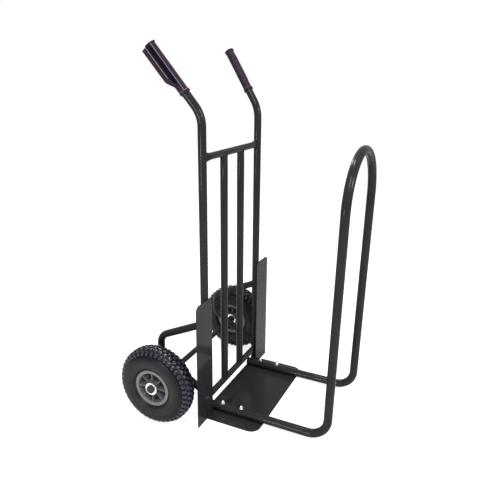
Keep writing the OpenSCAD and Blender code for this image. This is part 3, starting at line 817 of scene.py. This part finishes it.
# The face rises a little again towards a small flat in its middle
cap_flat_r, cap_flat_z = 2 * mm, cap_h - cap_sink * 0.6
cap_profile = [(bore_r, 0), (cap_r, 0)] + rounded_rim(cap_r, cap_h, cap_edge) + [
    (cap_r - cap_rim_w, cap_h), (cap_r - cap_rim_w - cap_sink, cap_h - cap_sink),
    (cap_flat_r, cap_flat_z), (0, cap_flat_z), (0, cap_h / 2), (bore_r, cap_h / 2)]
fit_both_ends("axle_end_caps", cap_profile, cap_high.x - cap_h, black_trim, "trim_plastic",
              "axle_caps")


# ---- Log hoop --------------------------------------------
# One steel tube, bent into two rails that lie on the toe plate, two legs and a half round
# arch. It holds the logs against the frame. Plastic plugs close the rear ends of the rails.

hoop_r, hoop_bend_r = 14 * mm, 65 * mm
hoop_reach, hoop_leg = 416 * mm, 892 * mm
hoop_lean = math.radians(1)
hoop_low, hoop_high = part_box("log_hoop")
rail_x, rail_z = hoop_high.x - hoop_r, hoop_low.z + hoop_r
leg_way = Vector((0, -math.sin(hoop_lean), math.cos(hoop_lean)))
half_hoop = [Vector((rail_x, hoop_high.y, rail_z)),
             Vector((rail_x, post_y - hoop_reach, rail_z))]
half_hoop.append(half_hoop[1] + leg_way * hoop_leg)
hoop_corners = half_hoop + [Vector((-at.x, at.y, at.z)) for at in reversed(half_hoop)]
path = bent_path(hoop_corners, [hoop_bend_r, rail_x, rail_x, hoop_bend_r])
hoop = skin("hoop_tube", path, [oval(hoop_r, hoop_r)] * len(path), Z)
fit("hoop_tube", hoop, paint, "frame_paint", "root", "log_hoop")

plug_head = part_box("hoop_end_plugs")[1].y - hoop_high.y
plug_edge, plug_sides = 0.8 * mm, 48
plug_profile = [(0, 0), (hoop_r, 0), (hoop_r, plug_head - plug_edge),
                (hoop_r - plug_edge, plug_head), (0, plug_head)]
plugs = [moved(lathe("plug", plug_profile, plug_sides),
               Matrix.Translation((side * rail_x, hoop_high.y, rail_z))
               @ Matrix.Rotation(-math.pi / 2, 4, "X")) for side in sides.values()]
fit("rail_plugs", gathered("rail_plugs", plugs), black_trim, "trim_plastic", "root",
    "hoop_end_plugs")


# ---- Hoop fasteners --------------------------------------
# Four countersunk screws come up through the toe plate and the rails. Each has a washer and
# a domed nut on top, all bright zinc plated.

nut_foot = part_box("hoop_nuts")[0].z
nut_across, nut_h, nut_chamfer, dome_r = 10 * mm, 5 * mm, 0.6 * mm, 4.6 * mm
nut_sides = 72


def domed_nut():
    """A hexagon with chamfered corners under a half round dome."""
    flat = nut_across / 2
    levels = [(0, flat), (nut_chamfer, 2 * flat), (nut_h - nut_chamfer, 2 * flat),
              (nut_h, flat), (nut_h, dome_r)]
    levels += [(nut_h + dome_r * math.sin(math.radians(turn)),
                dome_r * math.cos(math.radians(turn))) for turn in range(10, 90, 10)]
    points = []
    for z, widest in levels:
        for i in range(nut_sides):
            turn = 2 * math.pi * i / nut_sides
            corner = flat / math.cos((turn + math.pi / 6) % (math.pi / 3) - math.pi / 6)
            r = min(corner, widest)
            points.append((r * math.cos(turn), r * math.sin(turn), z))
    return stacked("nut", points, nut_sides)


nuts = [moved(domed_nut(), Matrix.Translation(spot + Z * nut_foot)) for spot in screw_spots]
fit("domed_nuts", gathered("domed_nuts", nuts), zinc, "zinc", "root", "hoop_nuts")
for node in ("hoop_screws", "hoop_washers"):
    coat(node, zinc)


# ---- Grips -----------------------------------------------
# A moulded grip with a flange at its closed end is pushed over each handle. A guard for the
# knuckles springs from its side and runs along it, open at its upper end.

def grip_plastic():
    """Dark aubergine plastic with a matt moulded grain."""
    material, shader = mottled("grip_plastic", (0.020, 0.012, 0.021), (0.032, 0.020, 0.034),
                               20 * mm, (0.34, 0.46), 5 * mm)
    shader.inputs["Specular IOR Level"].default_value = 0.08
    raise_grain(material, shader, 1.5 * mm, strength=0.3)
    return material


def grip_painted_highlight():
    """Lighter plastic: a painted highlight for the edges of the ribs, the guard's lips and the
    collar.
    """
    return mottled("grip_painted_highlight", (0.16, 0.12, 0.14), (0.26, 0.20, 0.22), 12 * mm,
                   (0.3, 0.42), 5 * mm)[0]


def grip_painted_shade():
    """The same plastic without the grain, nearly black: painted shade for the band under the
    guard.
    """
    material, shader = mottled("grip_painted_shade", (0.006, 0.005, 0.016), (0.010, 0.008, 0.024),
                               20 * mm, (0.4, 0.52), 5 * mm)
    shader.inputs["Specular IOR Level"].default_value = 0.05
    return material


grip_len, grip_r = 168 * mm, 14.5 * mm
grip_collar_r, grip_collar = 16.75 * mm, 9 * mm
grip_end_t, grip_flange_r, grip_flange, grip_round = 4 * mm, 17 * mm, 3.5 * mm, 1.5 * mm
grip_edge, collar_edge, flange_edge, grip_sides = 1 * mm, 1.2 * mm, 0.4 * mm, 64
grip_rib_at, grip_rib_h, grip_rib_w = math.radians(44), 1.4 * mm, 2.4 * mm
guard_at, guard_t = 36 * mm, 6 * mm
guard_span, guard_drop = math.radians(26), math.radians(11)
guard_root, guard_flare, guard_short = 21 * mm, 32 * mm, 8 * mm
guard_let_in, guard_knee_r, shade_band_foot = 3 * mm, 22 * mm, 34 * mm
grip_foot = grip_end_t - grip_len
grip_bore = post_r + slack


def grip_body():
    """The grip itself, with a collar at its foot and a flange round its closed end."""
    under_flange, over_collar = grip_end_t - grip_flange, grip_foot + grip_collar
    profile = [(grip_bore, grip_foot), (grip_collar_r - grip_edge, grip_foot),
               (grip_collar_r, grip_foot + grip_edge),
               (grip_collar_r, over_collar - collar_edge),
               (grip_collar_r - collar_edge, over_collar), (grip_r, over_collar),
               (grip_r, grip_foot + shade_band_foot), (grip_r, under_flange - grip_edge),
               (grip_r + grip_edge, under_flange), (grip_flange_r - flange_edge, under_flange),
               (grip_flange_r, under_flange + flange_edge)]
    profile += rounded_rim(grip_flange_r, grip_end_t, grip_round)
    profile += [(0, grip_end_t), (0, 0), (grip_bore, 0)]
    return lathe("grip_body", profile, grip_sides)


def grip_rib(turn):
    """A low straight rib along the grip, beside the hand guard."""
    low, high = grip_foot + grip_collar - 1 * mm, grip_end_t - grip_flange + 0.5 * mm
    foot_r, top_r = grip_r - 1 * mm, grip_r + grip_rib_h
    across = [(foot_r, -grip_rib_w), (top_r, -grip_rib_w / 3), (top_r, grip_rib_w / 3),
              (foot_r, grip_rib_w)]
    stations = [(Vector((0, 0, z)), Z) for z in (low, high)]
    return moved(skin("grip_rib", stations, [across] * 2, X), Matrix.Rotation(turn, 4, "Z"))


def knuckle_guard():
    """The curved strip beside the grip, with a thicker edge along both of its sides."""
    start = Vector((grip_r - guard_let_in, 0, grip_foot + guard_root))
    knee = Vector((guard_at, 0, grip_foot + guard_root + guard_flare))
    tip = Vector((guard_at, 0, grip_end_t - guard_short))
    stations = bent_path([start, knee, tip], [guard_knee_r])
    edge_w, edge_up, corner_r = 2 * mm, 0.6 * mm, 1.2 * mm
    # The thin middle never closes up altogether, even at the narrow root
    least, least_mid = 0.4 * mm, 0.2 * mm
    rounding = [(math.cos(math.radians(turn)), math.sin(math.radians(turn)))
                for turn in (0, 30, 60, 90)]
    points = []
    for at, way in stations:
        out = Y.cross(way)
        half = at.x * guard_span / 2
        half_t = guard_t / 2
        outline = []
        for u_sign, d_sign in ((1, 1), (-1, 1), (-1, -1), (1, -1)):
            corner = [(u_sign * (half - corner_r + corner_r * c),
                       d_sign * (half_t - corner_r + corner_r * s)) for c, s in rounding]
            corner.append((u_sign * max(half - edge_w, least), d_sign * half_t))
            corner.append((u_sign * max(half - edge_w - edge_up, least_mid),
                           d_sign * (half_t - edge_up)))
            if u_sign * d_sign < 0:
                corner.reverse()
            outline += corner
        # The tip is cut at a slant, back from the grip
        slant = 0.5 * (at.x - guard_at + guard_t) if at is stations[-1][0] else 0
        for u, d in outline:
            spot = at + out * d
            turn = u / at.x
            drop = slant * (0.5 + d / guard_t)
            points.append((spot.x * math.cos(turn), spot.x * math.sin(turn), spot.z - drop))
    return stacked("knuckle_guard", points, len(outline))


def painted_shade_and_highlight_faces(mesh):
    """Which faces of a grip get the painted shade, and which the painted highlight."""
    painted_shade_faces, painted_highlight_faces, close = [], [], 0.1 * mm
    # The shares of the guard's thickness and span past which its lips begin
    lip_out, lip_turn = 0.4, 0.42
    # Ends that look along the grip get no painted highlight
    end_face = 0.9
    for face in mesh.polygons:
        x, y, z = face.center
        out, turn, rise = math.hypot(x, y), abs(math.atan2(y, x)), z - grip_foot
        # The painted shade, without the grain, lies in the band between the ribs, under the
        # guard
        in_shade_band = grip_bore < out < grip_r and x > 0 and turn < grip_rib_at
        if in_shade_band and shade_band_foot < rise and z < grip_end_t - grip_flange:
            painted_shade_faces.append(face.index)
        # The painted highlight goes on the ribs, the guard's lips and the upper edge of the
        # collar
        on_rib = abs(out - grip_r - grip_rib_h) < close and rise > guard_root
        on_lip = out > guard_at + lip_out * guard_t and turn > lip_turn * guard_span
        on_collar = out > grip_r and abs(rise - grip_collar + collar_edge / 2) < 3 * close
        if (on_rib or on_lip or on_collar) and abs(face.normal.z) < end_face:
            painted_highlight_faces.append(face.index)
    return painted_shade_faces, painted_highlight_faces


# The second of these finishes paints shade into the band under the guard; the third paints a
# highlight on the edges
grip_finish, painted_shade_finish, painted_highlight_finish = grip_plastic(), grip_painted_shade(), grip_painted_highlight()
for name, side in sides.items():
    up = handle_way(side)
    outward = side * (X - up * X.dot(up)).normalized()
    down = side * up.cross(outward)
    toward = outward * math.cos(guard_drop) + down * math.sin(guard_drop)
    place = Matrix((toward, up.cross(toward), up)).transposed().to_4x4()
    place.translation = Vector((side * post_x, post_y, handle_from)) + up * handle_len
    parts = [grip_body(), grip_rib(-grip_rib_at), grip_rib(grip_rib_at), knuckle_guard()]
    mesh = gathered(f"{name}_grip_moulding", parts)
    painted_shade_faces, painted_highlight_faces = painted_shade_and_highlight_faces(mesh)
    fit(f"{name}_grip_moulding", moved(mesh, place), grip_finish, "grip_plastic", "root",
        f"{name}_grip")
    # Painted shade goes on the band, and a painted highlight on the ribs, lips and collar edge
    for slot, (trim, faces) in enumerate(((painted_shade_finish, painted_shade_faces), (painted_highlight_finish, painted_highlight_faces)), 1):
        mesh.materials.append(trim)
        for index in faces:
            mesh.polygons[index].material_index = slot


# ---- Floor, light and camera -----------------------------
# The cart stands on a plain white studio floor under large soft lamps.

def studio_white():
    """Floor that the camera sees as white, with only soft shade under the cart."""
    white, roughness, glow_level, glow_share = (0.86, 0.86, 0.86), 0.9, 1.62, 0.5
    material, shader = finish("studio_white", white, roughness)
    nodes, links = material.node_tree.nodes, material.node_tree.links
    glow = nodes.new("ShaderNodeEmission")
    glow.inputs["Strength"].default_value = glow_level
    path_kind = nodes.new("ShaderNodeLightPath")
    share = nodes.new("ShaderNodeMath")
    share.operation = "MULTIPLY"
    share.inputs[1].default_value = glow_share
    mix = nodes.new("ShaderNodeMixShader")
    links.new(path_kind.outputs["Is Camera Ray"], share.inputs[0])
    links.new(share.outputs["Value"], mix.inputs["Fac"])
    links.new(shader.outputs["BSDF"], mix.inputs[1])
    links.new(glow.outputs["Emission"], mix.inputs[2])
    links.new(mix.outputs["Shader"], nodes["Material Output"].inputs["Surface"])
    return material


floor_mesh = bpy.data.meshes.new("floor")
floor_half = 12
floor_mesh.from_pydata([(-floor_half, -floor_half, 0), (floor_half, -floor_half, 0),
                        (floor_half, floor_half, 0), (-floor_half, floor_half, 0)], [],
                       [(0, 1, 2, 3)])
floor_mesh.materials.append(studio_white())
floor = bpy.data.objects.new("floor", floor_mesh)
bpy.context.scene.collection.objects.link(floor)

world = bpy.data.worlds.new("studio")
world.use_nodes = True
bpy.context.scene.world = world
sky_nodes, sky_links = world.node_tree.nodes, world.node_tree.links
sky = sky_nodes["Background"]
sky.inputs["Color"].default_value = (1, 1, 1, 1)
sky_path = sky_nodes.new("ShaderNodeLightPath")
sky_level = sky_nodes.new("ShaderNodeMapRange")
# White to the camera, dimmer as a light, and between the two in what the cart reflects
sky_dim, sky_white, reflected_share = 0.45, 1.0, 0.35
sky_level.inputs["To Min"].default_value = sky_dim
sky_level.inputs["To Max"].default_value = sky_white
sky_seen = sky_nodes.new("ShaderNodeMath")
sky_seen.operation = "MULTIPLY_ADD"
sky_seen.inputs[1].default_value = reflected_share
sky_links.new(sky_path.outputs["Is Glossy Ray"], sky_seen.inputs[0])
sky_links.new(sky_path.outputs["Is Camera Ray"], sky_seen.inputs[2])
sky_links.new(sky_seen.outputs["Value"], sky_level.inputs["Value"])
sky_links.new(sky_level.outputs["Result"], sky.inputs["Strength"])

cart_middle = Vector((0, 0, 0.55))
# Each lamp's place in metres, its width and height in metres, and its watts
lamps = (("key", (-2.0, -0.6, 3.2), 0.35, 1.3, 55), ("top", (0.2, 0.3, 3.4), 0.5, 0.9, 50),
         ("front", (-0.5, -3.0, 2.2), 0.6, 0.9, 60), ("back", (1.4, 1.8, 2.4), 0.4, 0.8, 30),
         ("side", (-2.5, 0.5, 0.5), 0.4, 0.4, 15))
for lamp_name, spot, width, height, watts in lamps:
    lamp = bpy.data.objects.new(lamp_name, bpy.data.lights.new(lamp_name, "AREA"))
    lamp.data.energy = watts
    lamp.data.shape = "RECTANGLE"
    lamp.data.size, lamp.data.size_y = width, height
    lamp.location = spot
    lamp.rotation_euler = (cart_middle - Vector(spot)).to_track_quat("-Z", "Y").to_euler()
    bpy.context.scene.collection.objects.link(lamp)

# The camera's lens, directions and place come from the fit to the photo
camera = bpy.data.objects.new("camera", bpy.data.cameras.new("camera"))
bpy.context.scene.collection.objects.link(camera)
camera.data.sensor_width = 36
camera.data.lens = 39.42
yaw, pitch, roll = math.radians(25.7415), math.radians(-17.2393), math.radians(0.3544)
camera_at = Vector((-1552.5 * mm, post_y - 777.5 * mm, 1112.6 * mm))
level = math.pi / 2
camera.matrix_world = (Matrix.Translation(camera_at) @ Matrix.Rotation(yaw - level, 4, "Z")
                       @ Matrix.Rotation(level + pitch, 4, "X")
                       @ Matrix.Rotation(roll, 4, "Z"))
bpy.context.scene.camera = camera
bpy.context.scene.view_settings.view_transform = "Standard"
